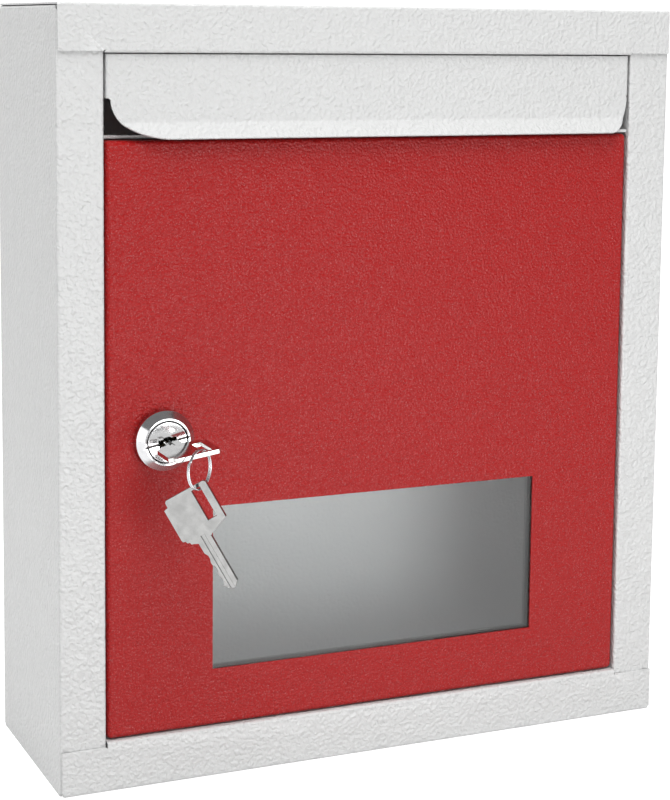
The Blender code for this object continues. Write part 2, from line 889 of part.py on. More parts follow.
def lock_plug(finish, at_plug):
    """The turning plug: keyway, wafer slots, and a square tail for the cam."""
    profile = [
        (0, plug_face),
        (plug_head_radius - plug_face_round, plug_face),
        (plug_head_radius, plug_face - plug_face_round),
        (plug_head_radius, plug_face - plug_head_length),
        (plug_radius, plug_face - plug_head_length),
        (plug_radius, cam_front + cam_gap),
        (0, cam_front + cam_gap),
    ]
    plug = turned("lock_plug", profile, finish, steps=48)
    plug.matrix_world = at_plug
    half = tail_side / 2
    tail_end = cam_front - tail_length
    tail = block("plug_tail", (-half, -half, tail_end), (half, half, cam_front + cam_thickness))
    tail.matrix_world = at_plug
    cut(plug, tail, "UNION")
    keyway = block(
        "keyway_cut",
        (-keyway_width / 2, -keyway_thickness / 2, plug_face - keyway_depth),
        (keyway_width / 2, keyway_thickness / 2, plug_face + cut_overrun),
    )
    keyway.matrix_world = at_plug
    cut(plug, keyway)
    groove = block(
        "face_groove_cut",
        (-plug_head_radius - cut_overrun, -face_groove_thickness / 2, plug_face - face_groove_depth),
        (plug_head_radius + cut_overrun, face_groove_thickness / 2, plug_face + cut_overrun),
    )
    groove.matrix_world = at_plug
    cut(plug, groove)
    eye = rod("key_eye_cut", key_eye_radius, plug_face - key_eye_depth, plug_face + cut_overrun, segments=28)
    eye.matrix_world = at_plug
    cut(plug, eye)
    for number in range(wafer_count):
        middle = wafer_middle(number)
        slot = block(
            "wafer_slot_cut",
            (-plug_radius - cut_overrun, -wafer_width / 2 - wafer_clearance, middle - wafer_slot / 2),
            (plug_radius + cut_overrun, wafer_width / 2 + wafer_clearance, middle + wafer_slot / 2),
        )
        slot.matrix_world = at_plug
        cut(plug, slot)
    hole_radius = screw_radius + screw_hole_clearance
    hole_end = tail_end + screw_length + screw_hole_clearance
    hole = rod("cam_screw_hole", hole_radius, tail_end - cut_overrun, hole_end, segments=20)
    hole.matrix_world = at_plug
    cut(plug, hole)
    return plug


def wafer_middle(number):
    """Where along the spindle a wafer's middle plane stands."""
    return plug_face - wafer_first - key_eye_depth - number * wafer_pitch


def wafer(number, finish, at_plug):
    """One flat tumbler with a window for the key's blade, level with the plug while the key is in."""
    reach = plug_radius - wafer_clearance
    half = wafer_width / 2
    limit = math.asin(half / reach)
    outline = arc(reach, -limit, 2 * limit, 8) + arc(reach, math.pi - limit, 2 * limit, 8)
    window_x, window_y = keyway_width / 2, keyway_thickness / 2
    window = [(-window_x, -window_y), (window_x, -window_y), (window_x, window_y), (-window_x, window_y)]
    made = prism("lock_wafer_%d" % (number + 1), [outline, window], wafer_thickness, finish)
    made.data.transform(Matrix.Translation((0, 0, wafer_middle(number))))
    made.matrix_world = at_plug
    return made


def lock_cam(finish, at_plug):
    """The cam: a flat arm on the plug's square tail, rounded round the tail and at its tip."""
    tip = cam_tip_width / 2
    corner = tip / 2
    top = cam_length
    outline = arc(cam_width / 2, math.pi, math.pi, 14)
    outline += [(tip, top - corner), (tip - corner / 2, top), (corner / 2 - tip, top), (-tip, top - corner)]
    side = tail_side / 2 + cam_hole_clearance
    hole = [(-side, -side), (side, -side), (side, side), (-side, side)]
    cam = prism("lock_cam", [outline, hole], cam_thickness, finish, centred=False)
    cam.data.transform(Matrix.Translation((0, 0, cam_front - cam_thickness)))
    cam.matrix_world = at_plug
    return cam


def cam_washer(finish, at_plug):
    """The washer between the cam screw's head and the plug's tail."""
    top = cam_front - tail_length - fit_gap
    low = top - washer_height
    inner = screw_radius + screw_hole_clearance
    profile = [(washer_radius, top), (washer_radius, low), (inner, low), (inner, top)]
    washer = turned("cam_washer", profile, finish, steps=32)
    washer.matrix_world = at_plug
    return washer


def cam_screw(finish, at_plug):
    """The slotted screw that holds the cam on the plug."""
    under_head = cam_front - tail_length - 2 * fit_gap - washer_height
    head_end = under_head - screw_head_height
    tip = cam_front - tail_length + screw_length - fit_gap
    profile = [
        (0, tip),
        (screw_radius, tip),
        (screw_radius, under_head),
        (screw_head_radius, under_head),
        (screw_head_radius, head_end),
        (0, head_end),
    ]
    screw = turned("cam_screw", profile, finish, steps=28)
    screw.matrix_world = at_plug
    slot = block(
        "screw_slot_cut",
        (-screw_head_radius - cut_overrun, -screw_slot_width / 2, head_end - cut_overrun),
        (screw_head_radius + cut_overrun, screw_slot_width / 2, head_end + screw_slot_depth),
    )
    slot.matrix_world = at_plug
    cut(screw, slot)
    return screw


# Keys: X across the blade, Y from the tip to the bow's outer end at zero, Z through the plate


def key_outline():
    """The key's edge, anticlockwise from the bow's outer left corner."""
    neck_y = -bow_length - shoulder_length
    tip_x = (blade_right - blade_left) / 2
    c = bow_corner
    edge = [
        (-bow_left + bow_step + c, 0),
        (-bow_left + bow_step, -c),
        (-bow_left + bow_step, -bow_step_drop),
        (-bow_left, -bow_step_drop - c / 2),
    ]
    start, end = Vector((-bow_left, -bow_length)), Vector((-blade_left - 2 * c, neck_y))
    out = (end - start).orthogonal().normalized() * -bow_wave_depth
    stops = 2 * bow_wave_count
    for stop in range(stops + 1):
        edge.append(tuple(start.lerp(end, stop / stops) + out * (stop % 2)))
    edge.append((-blade_left, neck_y - c))
    for number, share in enumerate(cut_depth_shares):
        y = -cut_start - number * cut_pitch
        x = share * cut_deepest - blade_left
        edge += [(x, y), (x, y - cut_pitch * cut_flat_share)]
    edge += [
        (-blade_left, c + blade_tip_length - key_length),
        (tip_x - blade_tip_half, c - key_length),
        (tip_x, -key_length),
        (tip_x + blade_tip_half, c / 2 - key_length),
        (blade_right, blade_tip_length - key_length),
        (blade_right, neck_y),
        (bow_right, -bow_length),
        (bow_right, -c),
        (bow_right - c, 0),
    ]
    return edge


def key_slot():
    left, right = key_slot_left, key_slot_right
    start, end = -key_bar, -key_bar - key_slot_length
    return [(left, start), (left, end), (right, end), (right, start)]


def key(name, finish, place):
    """A flat key with a long slot in its bow and a groove down each face of its blade."""
    made = prism(name, [key_outline(), key_slot()], key_thickness, finish)
    made.matrix_world = place
    neck_y = -bow_length - shoulder_length
    for face, shift in ((1, groove_offset), (-1, -groove_offset)):
        surface = face * key_thickness / 2
        low, high = sorted((surface - face * groove_depth, surface + face * cut_overrun))
        groove = block(
            name + "_groove_cut",
            (shift - groove_width / 2, -key_length - cut_overrun, low),
            (shift + groove_width / 2, neck_y + shoulder_length / 2, high),
        )
        groove.matrix_world = place
        cut(made, groove)
    return made


def key_frame():
    """The key in the lock: its blade along the spindle, its plate along the keyway."""
    place = lock_frame(key_tilt) @ Matrix.Rotation(key_droop, 4, "X")
    return place @ Matrix.Translation((0, 0, plug_face + key_standout)) @ Matrix.Rotation(math.pi / 2, 4, "X")


def ring_centre():
    """The ring hangs on the outer bar of the key that is in the lock."""
    seat = key_frame() @ Vector((key_slot_left - ring_from_slot, -key_bar / 2, 0))
    rise = key_thickness / 2 + ring_over_key + ring_wire
    return seat + Vector((0, 0, rise - ring_radius))


def ring_directions():
    """The ring's level direction, rightward and into the box, and the level direction across its plane."""
    along = Vector((math.cos(ring_turn), math.sin(ring_turn), 0))
    across = Vector((math.sin(ring_turn), -math.cos(ring_turn), 0))
    return along, across


def key_ring(finish):
    """A wire ring whose two ends pass each other side by side."""
    along, across = ring_directions()
    centre = ring_centre()
    curve = bpy.data.curves.new("key_ring", "CURVE")
    curve.dimensions = "3D"
    curve.bevel_depth = ring_wire
    curve.bevel_resolution = 2
    curve.use_fill_caps = True
    spline = curve.splines.new("POLY")
    spline.points.add(ring_steps)
    sweep = math.tau + ring_overlap
    for number, point in enumerate(spline.points):
        share = number / ring_steps
        angle = ring_end_angle - sweep * share
        past = share * sweep - math.tau + ring_overlap
        side = -ring_lift * min(max(past / ring_overlap, 0), 1)
        where = centre + ring_radius * (math.cos(angle) * along + math.sin(angle) * Vector((0, 0, 1)))
        point.co = (*(where + side * across), 1)
    ring = bpy.data.objects.new("key_ring", curve)
    curve.materials.append(finish)
    parts.objects.link(ring)
    return ring


def spare_frame():
    """The spare key hangs by its slot from the ring's lowest point, leaning on the ring's wire."""
    wire = ring_centre() - Vector((0, 0, ring_radius))
    hang = Vector((key_slot_right - spare_from_side, -key_bar - ring_gap - ring_wire, 0))
    level = Vector((math.cos(spare_turn), -math.sin(spare_turn), 0))
    up = Vector((0, 0, 1))
    x_axis = math.cos(spare_lean) * level + math.sin(spare_lean) * up
    y_axis = math.cos(spare_lean) * up - math.sin(spare_lean) * level
    turn = Matrix((x_axis, y_axis, x_axis.cross(y_axis))).transposed().to_4x4()
    return Matrix.Translation(wire) @ turn @ Matrix.Translation(-hang)


def pivot(name, place):
    """An empty on a joint's axis."""
    empty = bpy.data.objects.new(name, None)
    parts.objects.link(empty)
    empty.matrix_world = place
    return empty


def carry(empty, pieces):
    """Parents the pieces to an empty, left where they stand."""
    bpy.context.view_layer.update()
    for piece in pieces:
        piece.parent = empty
        piece.matrix_parent_inverse = empty.matrix_world.inverted()


def build():
    clear_scene()
    white = material("powder_white", (0.78, 0.80, 0.80), 0.5, 0.0)
    red = material("powder_red", (0.52, 0.016, 0.02), 0.42, 0.0)
    clear = material("clear_acrylic", (0.9, 0.93, 0.93), 0.06, 0.0, 0.9)
    chrome = material("chrome", (0.78, 0.78, 0.79), 0.12, 1.0)
    zinc = material("zinc_steel", (0.62, 0.63, 0.65), 0.32, 1.0)
    nickel = material("nickel_brass", (0.66, 0.66, 0.64), 0.28, 1.0)
    brass = material("brass", (0.62, 0.47, 0.2), 0.35, 1.0)

    at_lock = lock_frame(0)
    at_plug = lock_frame(lock_tilt)

    side_panel("side_left", -1, white)
    side_panel("side_right", 1, white)
    back_panel(white)
    top_panel(white)
    bottom_panel(white)
    cross_rail(white)

    flap_pieces = [
        flap(white),
        flap_rivet("flap_rivet_left", -1, zinc),
        flap_rivet("flap_rivet_right", 1, zinc),
    ]
    door_pieces = [
        door_panel(red, at_lock),
        hinge_pin("hinge_pin_top", 1, zinc),
        hinge_pin("hinge_pin_bottom", -1, zinc),
        hinge_clip("hinge_clip_top", 1, zinc),
        hinge_clip("hinge_clip_bottom", -1, zinc),
        window_pane(clear),
        pane_rail("pane_rail_top", 1, red),
        pane_rail("pane_rail_bottom", -1, red),
        lock_housing(chrome, at_lock),
        lock_nut(zinc, at_lock),
    ]
    plug_pieces = [
        lock_plug(chrome, at_plug),
        lock_cam(zinc, at_plug),
        cam_washer(zinc, at_plug),
        cam_screw(zinc, at_plug),
        *[wafer(number, brass, at_plug) for number in range(wafer_count)],
    ]
    key_place, spare_place = key_frame(), spare_frame()
    held_key = key("key_in_lock", nickel, key_place)
    ring = key_ring(zinc)
    spare_key = key("spare_key", nickel, spare_place)

    carry(pivot("flap_axis", Matrix.Translation((0, flap_pivot_y, flap_pivot_z))), flap_pieces)
    door_axis = pivot("door_axis", Matrix.Translation((hinge_x, hinge_y, 0)))
    spindle = pivot("lock_spindle", at_plug)
    key_line = pivot("key_line", key_place)
    ring_seat = pivot("ring_seat", Matrix.Translation(ring_centre() + Vector((0, 0, ring_radius))))
    spare_hang = pivot("spare_hang", Matrix.Translation(ring_centre() - Vector((0, 0, ring_radius))))
    carry(door_axis, [*door_pieces, spindle])
    carry(spindle, [*plug_pieces, key_line])
    carry(key_line, [held_key, ring_seat])
    carry(ring_seat, [ring, spare_hang])
    carry(spare_hang, [spare_key])


build()
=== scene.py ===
"""The suggestion box's looks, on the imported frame. Metres, +Z up, the front towards -Y."""
import json
import math

import bmesh
import bpy
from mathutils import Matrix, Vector

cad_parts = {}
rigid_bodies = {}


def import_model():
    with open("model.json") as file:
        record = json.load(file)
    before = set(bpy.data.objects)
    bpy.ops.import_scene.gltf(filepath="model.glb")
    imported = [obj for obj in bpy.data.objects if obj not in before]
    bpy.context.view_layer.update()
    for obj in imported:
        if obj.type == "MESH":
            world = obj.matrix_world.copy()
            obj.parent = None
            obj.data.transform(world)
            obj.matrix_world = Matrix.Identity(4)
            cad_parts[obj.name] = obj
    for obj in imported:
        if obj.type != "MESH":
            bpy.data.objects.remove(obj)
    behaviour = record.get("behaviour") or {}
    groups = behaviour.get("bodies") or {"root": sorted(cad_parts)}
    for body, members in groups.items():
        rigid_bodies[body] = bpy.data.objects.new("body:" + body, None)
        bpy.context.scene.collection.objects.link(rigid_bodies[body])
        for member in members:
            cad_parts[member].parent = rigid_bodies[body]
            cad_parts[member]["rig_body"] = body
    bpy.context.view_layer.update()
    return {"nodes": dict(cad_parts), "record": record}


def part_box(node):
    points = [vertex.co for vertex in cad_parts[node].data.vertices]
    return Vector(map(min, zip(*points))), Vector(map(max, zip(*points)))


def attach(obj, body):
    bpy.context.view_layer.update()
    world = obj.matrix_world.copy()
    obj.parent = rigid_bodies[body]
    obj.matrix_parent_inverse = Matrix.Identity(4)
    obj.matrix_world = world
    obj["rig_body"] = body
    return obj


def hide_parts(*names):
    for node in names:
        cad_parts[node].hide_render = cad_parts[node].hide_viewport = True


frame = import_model()

MM = 0.001

# Camera, at the photograph's viewing angle. Its turns are degrees about X, Y and Z
camera_spot = (-329.2 * MM, -741.7 * MM, 296.3 * MM)
camera_turns = (83.173, -0.593, -23.828)
camera_lens = 87.07
camera_shift_up = -0.175
camera_reach = 20.0


def make_camera():
    """The scene's camera."""
    data = bpy.data.cameras.new("camera")
    data.lens = camera_lens
    data.shift_y = camera_shift_up
    data.clip_end = camera_reach
    obj = bpy.data.objects.new("camera", data)
    obj.location = camera_spot
    obj.rotation_euler = [math.radians(turn) for turn in camera_turns]
    bpy.context.scene.collection.objects.link(obj)
    bpy.context.scene.camera = obj


def joint_spot(name):
    """A joint's place and axis in the frame."""
    joint = next(j for j in frame["record"]["behaviour"]["joints"] if j["name"] == name)
    return Vector(joint["pos_m"]), Vector(joint["axis"])


# Node trees


class Nodes:
    """A material's node tree, with short calls that add and join nodes."""

    def __init__(self, name):
        self.material = bpy.data.materials.new(name)
        self.material.use_nodes = True
        self.tree = self.material.node_tree
        self.shader = next(node for node in self.tree.nodes if node.type == "BSDF_PRINCIPLED")
        coordinates = self.tree.nodes.new("ShaderNodeTexCoord")
        self.place = coordinates.outputs["Object"]

    def join(self, source, socket):
        """Links an output to an input."""
        self.tree.links.new(source, socket)

    def feed(self, socket, value):
        """A socket takes a number, a colour or another socket."""
        if isinstance(value, bpy.types.NodeSocket):
            self.join(value, socket)
        else:
            socket.default_value = value

    def noise(self, size, detail, stretch=(1.0, 1.0, 1.0), distortion=0.0):
        """Noise whose features are about size across."""
        mapping = self.tree.nodes.new("ShaderNodeMapping")
        mapping.inputs["Scale"].default_value = stretch
        self.join(self.place, mapping.inputs["Vector"])
        node = self.tree.nodes.new("ShaderNodeTexNoise")
        node.inputs["Scale"].default_value = 1 / size
        node.inputs["Detail"].default_value = detail
        node.inputs["Distortion"].default_value = distortion
        self.join(mapping.outputs["Vector"], node.inputs["Vector"])
        return node.outputs["Fac"]

    def edge_line(self, start, end):
        """0 on flat sheet and 1 on sharp outer edges."""
        geometry = self.tree.nodes.new("ShaderNodeNewGeometry")
        return self.spread(geometry.outputs["Pointiness"], 0.0, 1.0, start, end)

    def spread(self, value, low, high, start=0.0, end=1.0):
        """value's span from start to end, as low to high."""
        node = self.tree.nodes.new("ShaderNodeMapRange")
        node.clamp = True
        self.feed(node.inputs["Value"], value)
        node.inputs["From Min"].default_value = start
        node.inputs["From Max"].default_value = end
        node.inputs["To Min"].default_value = low
        node.inputs["To Max"].default_value = high
        return node.outputs["Result"]

    def number(self, operation, first, second=None):
        """A sum with numbers."""
        node = self.tree.nodes.new("ShaderNodeMath")
        node.operation = operation
        self.feed(node.inputs[0], first)
        if second is not None:
            self.feed(node.inputs[1], second)
        return node.outputs["Value"]

    def vector(self, operation, first, second=None):
        """A sum with vectors, which gives a vector or, for a length or a dot product, a number."""
        node = self.tree.nodes.new("ShaderNodeVectorMath")
        node.operation = operation
        self.feed(node.inputs[0], first)
        if second is not None:
            self.feed(node.inputs[1], second)
        return node.outputs["Value" if operation in ("LENGTH", "DOT_PRODUCT") else "Vector"]

    def mix(self, share, first, second):
        """first where share is 0 and second where it is 1. Both are colours."""
        node = self.tree.nodes.new("ShaderNodeMix")
        node.data_type = "RGBA"
        self.feed(node.inputs["Factor"], share)
        self.feed(node.inputs["A"], first)
        self.feed(node.inputs["B"], second)
        return node.outputs["Result"]

    def bump(self, height, depth, normal=None):
        """A normal from a height of 0 to 1, which stands for depth."""
        node = self.tree.nodes.new("ShaderNodeBump")
        node.inputs["Distance"].default_value = depth
        self.join(height, node.inputs["Height"])
        if normal is not None:
            self.join(normal, node.inputs["Normal"])
        return node.outputs["Normal"]

    def set(self, **inputs):
        """Principled inputs by name, with _ for a space."""
        for name, value in inputs.items():
            self.feed(self.shader.inputs[name.replace("_", " ")], value)
        return self.material


def split_rays(tree, kind, others, chosen):
    """Sends the chosen shader to rays of that kind and the other one to all others."""
    path = tree.nodes.new("ShaderNodeLightPath")
    both = tree.nodes.new("ShaderNodeMixShader")
    for source, socket in zip((path.outputs[kind], others.outputs[0], chosen.outputs[0]), both.inputs):
        tree.links.new(source, socket)
    end = next(node for node in tree.nodes if node.type in ("OUTPUT_MATERIAL", "OUTPUT_WORLD"))
    tree.links.new(both.outputs["Shader"], end.inputs["Surface"])


def shade(colour, share=1.0):
    """A colour with all its parts taken times share."""
    return [min(part * share, 1.0) for part in colour[:3]] + [1.0]


# How many finer layers a noise has
smooth_detail = 1.0
plain_detail = 2.0
rich_detail = 3.0
fine_detail = 4.0

# Powder coat. Each span is the stretch of a noise, or of the edges, over which a change takes place
peel_detail = 0.5
peel_distortion = 0.4
peel_shade_span = (0.34, 0.66)
peel_shade_mix_share = 0.6
mottle_size = 38 * MM
mottle_span = (0.35, 0.65)
mottle_shares = (0.985, 1.015)
# Painted glints: lighter specks that stand in for highlights off the coat's bumps
glint_size = 0.6 * MM
glint_span = (0.58, 0.72)
glint_white_share = 0.3
# Painted highlight along sharp edges, and the patches that break it up
edge_highlight_span = (0.61, 0.70)
edge_highlight_share = 1.35
highlight_patch_size = 9 * MM
highlight_patch_span = (0.35, 0.7)
highlight_patch_shares = (0.35, 0.9)
wave_size_share = 6
wave_depth_share = 0.8
sheen_size = 3.0 * MM
sheen_span = (0.3, 0.7)
sheen_change = 0.03


def powder_coat(name, colour, peel_size, peel_depth, peel_shade_share, glint_share, roughness, level):
    """A stoved powder coat: orange peel whose colour carries painted shade in its hollows and a painted
    highlight on its crests, painted glints, slow waves, and a painted highlight along edges.
    """
    n = Nodes(name)
    mottle = n.spread(n.noise(mottle_size, rich_detail), 0.0, 1.0, *mottle_span)
    tone = n.mix(mottle, *[shade(colour, share) for share in mottle_shares])
    peel = n.noise(peel_size, peel_detail, distortion=peel_distortion)
    # The colour follows the peel's height: painted shade in its hollows, painted highlight on its crests
    painted_peel_shade = n.spread(peel, 0.0, 1.0, *peel_shade_span)
    tone = n.mix(peel_shade_mix_share, tone, n.mix(painted_peel_shade, shade(colour, 1 - peel_shade_share), shade(colour, 1 + peel_shade_share)))
    # Painted glints: specks of lighter colour in place of highlights
    painted_glints = n.spread(n.noise(glint_size, smooth_detail), 0.0, glint_share, *glint_span)
    tone = n.mix(painted_glints, tone, [*[part + glint_white_share * (1 - part) for part in colour], 1.0])
    # A painted highlight along sharp edges, broken into patches
    highlight_patches = n.spread(n.noise(highlight_patch_size, rich_detail), *highlight_patch_shares, *highlight_patch_span)
    painted_edge_highlight = n.number("MULTIPLY", n.edge_line(*edge_highlight_span), highlight_patches)
    tone = n.mix(painted_edge_highlight, tone, shade(colour, edge_highlight_share))
    waves = n.bump(n.noise(wave_size_share * peel_size, smooth_detail), wave_depth_share * peel_depth)
    normal = n.bump(peel, peel_depth, waves)
    sheen = n.noise(sheen_size, plain_detail)
    rough = n.spread(sheen, roughness - sheen_change, roughness + sheen_change, *sheen_span)
    return n.set(Base_Color=tone, Roughness=rough, Normal=normal, Specular_IOR_Level=level)


# Darker colour in the seam round the lock's plug and along its keyway
seam_radius = 8.2 * MM
seam_half = 0.16 * MM
dark_line_fade = 0.22 * MM
keyway_half = 0.35 * MM
keyway_reach = 8.6 * MM
keyway_tilt = math.radians(10.5)
dark_line_tone = (0.035, 0.03, 0.03, 1.0)


def dark_lock_lines(n):
    """1 in the seam round the lock's plug and along its keyway, and 0 elsewhere."""
    spindle = joint_spot("lock_turn")[0]
    place = n.vector("SUBTRACT", n.place, spindle)
    flattened = n.vector("MULTIPLY", place, (1.0, 0.0, 1.0))
    radius = n.vector("LENGTH", flattened)
    off_seam = n.number("ABSOLUTE", n.number("SUBTRACT", radius, seam_radius))
    seam = n.spread(off_seam, 1.0, 0.0, seam_half, seam_half + dark_line_fade)
    across = (-math.sin(keyway_tilt), 0.0, math.cos(keyway_tilt))
    off_line = n.number("ABSOLUTE", n.vector("DOT_PRODUCT", place, across))
    line = n.spread(off_line, 1.0, 0.0, keyway_half, keyway_half + dark_line_fade)
    reach = n.spread(radius, 1.0, 0.0, keyway_reach, keyway_reach + dark_line_fade)
    return n.number("MAXIMUM", seam, n.number("MULTIPLY", line, reach))


# Plated metal
tarnish_size = 3.5 * MM
tarnish_span = (0.35, 0.7)
# Painted highlight along sharp edges
metal_highlight_span = (0.58, 0.68)
metal_highlight_mix_share = 0.6
metal_highlight_share = 1.4
haze_size = 1.2 * MM
haze_span = (0.3, 0.7)
haze_shares = (0.8, 1.25)
mark_stretch = (1.0, 1.0, 0.18)


def plated(name, colour, roughness, mark_size, mark_depth, tarnish_share, seams=False):
    """A plated metal with fine handling marks, a painted highlight along its edges and, on the lock, darker
    colour in its seams.
    """
    n = Nodes(name)
    tarnish = n.spread(n.noise(tarnish_size, rich_detail), 0.0, 1.0, *tarnish_span)
    tone = n.mix(tarnish, shade(colour), shade(colour, tarnish_share))
    # A painted highlight along sharp edges
    edge = n.number("MULTIPLY", n.edge_line(*metal_highlight_span), metal_highlight_mix_share)
    tone = n.mix(edge, tone, shade(colour, metal_highlight_share))
    if seams:
        tone = n.mix(dark_lock_lines(n), tone, dark_line_tone)
    haze = n.noise(haze_size, fine_detail)
    rough = n.spread(haze, *[roughness * share for share in haze_shares], *haze_span)
    marks = n.bump(n.noise(mark_size, rich_detail, stretch=mark_stretch), mark_depth)
    return n.set(Base_Color=tone, Metallic=1.0, Roughness=rough, Normal=marks)


# Acrylic, with strips of painted shade along its right and lower edges
shade_strip_width = 11.6 * MM
shade_strip_height = 7.4 * MM
shade_strip_fade = 0.3 * MM
shade_strip_share = 0.6
smear_size = 26 * MM
smear_span = (0.4, 0.7)
smear_roughness = (0.02, 0.09)
acrylic_index = 1.49


def acrylic(name, colour):
    """Clear acrylic sheet that lets the lamps through, with painted shade in strips along its right and
    lower edges.
    """
    pane_low, pane_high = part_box("window_pane")
    shade_strip_left = pane_high[0] - shade_strip_width
    shade_strip_top = pane_low[2] + shade_strip_height
    n = Nodes(name)
    x = n.vector("DOT_PRODUCT", n.place, (1.0, 0.0, 0.0))
    z = n.vector("DOT_PRODUCT", n.place, (0.0, 0.0, 1.0))
    # Painted shade in strips along the right and lower edges
    right_shade = n.spread(x, 0.0, 1.0, shade_strip_left, shade_strip_left + shade_strip_fade)
    low = n.spread(z, 1.0, 0.0, shade_strip_top, shade_strip_top + shade_strip_fade)
    tone = n.mix(n.number("MAXIMUM", right_shade, low), shade(colour), shade(colour, shade_strip_share))
    smear = n.spread(n.noise(smear_size, rich_detail), *smear_roughness, *smear_span)
    n.set(Base_Color=tone, Roughness=smear, Transmission_Weight=1.0, IOR=acrylic_index)
    clear = n.tree.nodes.new("ShaderNodeBsdfTransparent")
    clear.inputs["Color"].default_value = shade(colour)
    split_rays(n.tree, "Is Shadow Ray", n.shader, clear)
    return n.material


# Each finish's colour and settings
white_coat = {
    "colour": (0.585, 0.588, 0.586), "peel_size": 1.5 * MM, "peel_depth": 0.68 * MM, "peel_shade_share": 0.02,
    "glint_share": 0.06, "roughness": 0.34, "level": 0.5,
}
inner_coat = {**white_coat, "peel_depth": 0.2 * MM, "roughness": 0.4, "level": 0.4}
red_coat = {
    "colour": (0.325, 0.009, 0.009), "peel_size": 1.0 * MM, "peel_depth": 0.50 * MM, "peel_shade_share": 0.05,
    "glint_share": 0.20, "roughness": 0.30, "level": 0.20,
}
acrylic_colour = (0.93, 0.95, 0.95)
chrome = {
    "colour": (0.84, 0.84, 0.85), "roughness": 0.10, "mark_size": 0.4 * MM, "mark_depth": 0.0006 * MM,
    "tarnish_share": 0.93, "seams": True,
}
# A darker copy of the chrome: painted shade on the lock's bezel
shaded_chrome = {**chrome, "colour": (0.60, 0.60, 0.61), "roughness": 0.14, "tarnish_share": 0.90}
zinc = {
    "colour": (0.62, 0.63, 0.65), "roughness": 0.22, "mark_size": 0.4 * MM, "mark_depth": 0.004 * MM,
    "tarnish_share": 0.90,
}
nickel = {
    "colour": (0.385, 0.385, 0.38), "roughness": 0.15, "mark_size": 0.5 * MM, "mark_depth": 0.003 * MM,
    "tarnish_share": 0.80,
}
# A lighter copy of the key nickel: painted highlight on the key in the lock
lit_nickel = {
    "colour": (0.72, 0.72, 0.71), "roughness": 0.10, "mark_size": 0.5 * MM, "mark_depth": 0.002 * MM,
    "tarnish_share": 0.85,
}
brass = {
    "colour": (0.72, 0.52, 0.22), "roughness": 0.25, "mark_size": 0.4 * MM, "mark_depth": 0.006 * MM,
    "tarnish_share": 0.88,
}

# The record's material slots
finishes = {
    "white_powder_coat": powder_coat("white_coat", **white_coat),
    "red_powder_coat": powder_coat("red_coat", **red_coat),
    "clear_acrylic": acrylic("acrylic", acrylic_colour),
    "chrome_plate": plated("chrome", **chrome),
    "zinc_plated_steel": plated("zinc", **zinc),
    "key_nickel": plated("nickel", **nickel),
    "wafer_brass": plated("brass", **brass),
}

# Pieces with their own finish: a smoother coat inside the box, a darker copy of the chrome on the lock's
# bezel as painted shade, and a lighter copy of the key nickel on the key in the lock as a painted highlight
own_finishes = {
    "back_panel": powder_coat("inner_coat", **inner_coat),
    "lock_housing": plated("shaded_chrome", **shaded_chrome),
    "key_in_lock": plated("lit_nickel", **lit_nickel),
}

slots = {part["node"]: part["material_slot"] for part in frame["record"]["subparts"]}


def finish(obj, node):
    """Gives obj node's finish."""
    obj.data.materials.clear()
    obj.data.materials.append(own_finishes.get(node, finishes[slots[node]]))


def stand_in(node, mesh):
    """A piece with this mesh, which rides, is finished and is shown in a CAD node's place."""
    obj = bpy.data.objects.new(node + "_look", mesh)
    bpy.context.scene.collection.objects.link(obj)
    finish(obj, node)
    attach(obj, frame["nodes"][node]["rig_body"])
    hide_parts(node)
    return obj


# Softened edges
weld_distance = 0.002 * MM
flat_angle = math.radians(1.0)
edge_angle = math.radians(38.0)
edge_segments = 2
sheet_edge = 0.16 * MM
fine_edge = 0.1 * MM
key_edge = 0.2 * MM
softened = [
    (sheet_edge, ["side_left", "side_right", "top_panel", "bottom_panel", "back_panel", "cross_rail",
                  "flap", "door_panel", "pane_rail_top", "pane_rail_bottom"]),
    (fine_edge, ["window_pane", "lock_housing", "lock_plug"]),
    (key_edge, ["key_in_lock", "spare_key"]),
]


def dressed(node, edge):
    """A copy of a CAD node with softened edges, in its place."""
    bm = bmesh.new()
    bm.from_mesh(frame["nodes"][node].data)
    bmesh.ops.remove_doubles(bm, verts=bm.verts, dist=weld_distance)
    bmesh.ops.dissolve_limit(bm, angle_limit=flat_angle, verts=bm.verts, edges=bm.edges)
    mesh = bpy.data.meshes.new(node + "_look")
    bm.to_mesh(mesh)
    bm.free()
    for layer in [a for a in mesh.attributes if a.name in ("custom_normal", "sharp_edge", "sharp_face")]:
        mesh.attributes.remove(layer)
    mesh.shade_smooth()
    obj = stand_in(node, mesh)
    bevel = obj.modifiers.new("edge", "BEVEL")
    bevel.width = edge
    bevel.segments = edge_segments
    bevel.limit_method = "ANGLE"
    bevel.angle_limit = edge_angle
    bevel.use_clamp_overlap = False
    normals = obj.modifiers.new("normals", "WEIGHTED_NORMAL")
    normals.keep_sharp = True


# Split ring
ring_wire_radius = 0.34 * MM
ring_wire_sides = 12
ring_turns = 2
ring_steps = 72
ring_start = math.radians(150)
ring_cross = math.radians(50)


